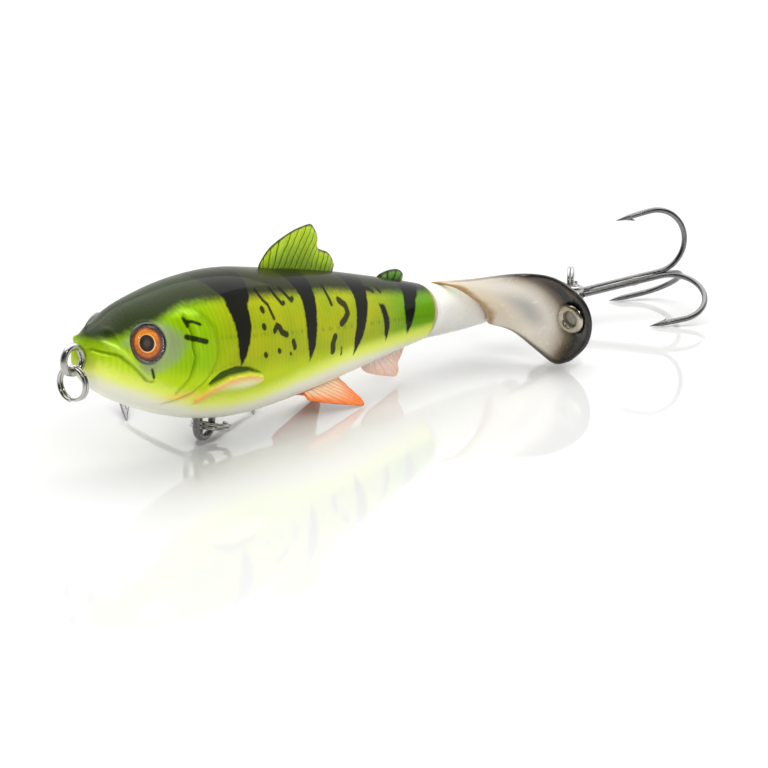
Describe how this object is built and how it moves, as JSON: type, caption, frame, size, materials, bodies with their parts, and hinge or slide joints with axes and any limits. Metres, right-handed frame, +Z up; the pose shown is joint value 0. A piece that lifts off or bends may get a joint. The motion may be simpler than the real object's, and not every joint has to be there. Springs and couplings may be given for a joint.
{
  "type": "fishing lure",
  "caption": "Hard-bodied trout lure with a cupped tail that spins on a through-wire, dorsal and lower fins, and treble hooks on split rings.",
  "frame": {"origin": "centre of the bounding box at the surface that the lure stands on", "axes": "+X from nose to tail, +Y to the right side of the fish, +Z up; the wire axis dips 5.8 degrees towards the tail"},
  "size_m": [0.1566, 0.0476, 0.0308],
  "materials": {
    "painted_shell": "lime sides, charcoal back and bars, cream belly under a glossy clear coat",
    "eye_iris": "printed amber iris with a dark pupil",
    "eye_lens": "clear domed resin",
    "stainless_wire": "drawn stainless wire",
    "dark_wire": "black nickel plated wire",
    "ballast_steel": "turned steel slug",
    "rattle_steel": "polished steel ball",
    "dorsal_fin": "translucent green with dark rays",
    "adipose_fin": "translucent green with a dark edge",
    "anal_fin": "pale pink translucent",
    "pelvic_fin": "orange, paler at the root",
    "washer_brass": "turned brass",
    "tail_hub": "pearl white translucent",
    "tail_blade": "smoky silver with a dark rim",
    "eyelet_nickel": "pressed nickel eyelet",
    "bead_steel": "polished bead",
    "ring_steel": "bright rolled split ring wire",
    "hook_nickel": "black nickel plated hook wire"
  },
  "bodies": {
    "lure_body": {"body_left_shell": "painted_shell", "body_right_shell": "painted_shell", "left_eye_iris": "eye_iris", "left_eye_lens": "eye_lens", "right_eye_iris": "eye_iris", "right_eye_lens": "eye_lens", "tow_loop": "stainless_wire", "through_wire": "stainless_wire", "hook_loop": "stainless_wire", "rear_wire_wrap": "stainless_wire", "belly_hanger": "dark_wire", "belly_ballast": "ballast_steel", "dorsal_fin": "dorsal_fin", "adipose_fin": "adipose_fin", "anal_fin": "anal_fin", "left_pelvic_fin": "pelvic_fin", "right_pelvic_fin": "pelvic_fin", "front_washer": "washer_brass", "rear_washer": "washer_brass", "rear_bead": "bead_steel"},
    "nose_ring": {"nose_split_ring": "ring_steel"},
    "belly_ring": {"belly_split_ring": "ring_steel"},
    "belly_treble": {"belly_treble_hook": "hook_nickel"},
    "tail": {"tail_hub": "tail_hub", "tail_blade": "tail_blade", "tail_bushing": "washer_brass", "tail_eyelet": "eyelet_nickel"},
    "rear_ring": {"rear_split_ring": "ring_steel"},
    "rear_treble": {"rear_treble_hook": "hook_nickel"},
    "rattle": {"rattle_ball": "rattle_steel"}
  },
  "joints": [
    {"name": "nose_ring_swing", "type": "hinge", "parent": "lure_body", "child": "nose_ring", "pos_m": [-0.07605, -0.00265, 0.01763], "axis": [0.9949, 0, -0.1005], "range_deg": [-75, 75]},
    {"name": "belly_ring_swing", "type": "hinge", "parent": "lure_body", "child": "belly_ring", "pos_m": [-0.04764, -0.00265, 0.00335], "axis": [0, 1, 0], "range_deg": [0, 60]},
    {"name": "belly_treble_swing", "type": "hinge", "parent": "belly_ring", "child": "belly_treble", "pos_m": [-0.04446, 0.00127, 0.0025], "axis": [-0.7431, 0.6691, 0], "range_deg": [0, 40]},
    {"name": "tail_spin", "type": "hinge", "parent": "lure_body", "child": "tail", "pos_m": [0.01718, -0.00265, 0.01017], "axis": [0.9949, 0, -0.1005], "continuous": true},
    {"name": "rear_ring_swing", "type": "hinge", "parent": "lure_body", "child": "rear_ring", "pos_m": [0.05091, -0.00265, 0.00676], "axis": [0.1005, 0, 0.9949], "range_deg": [-75, 15]},
    {"name": "rear_treble_swing", "type": "hinge", "parent": "rear_ring", "child": "rear_treble", "pos_m": [0.05493, -0.00033, 0.00435], "axis": [0.5736, 0.8192, 0], "range_deg": [-30, 30]},
    {"name": "rattle_slide", "type": "slide", "parent": "lure_body", "child": "rattle", "axis": [0.9949, 0, -0.1005], "range_m": [-0.0068, 0]}
  ]
}
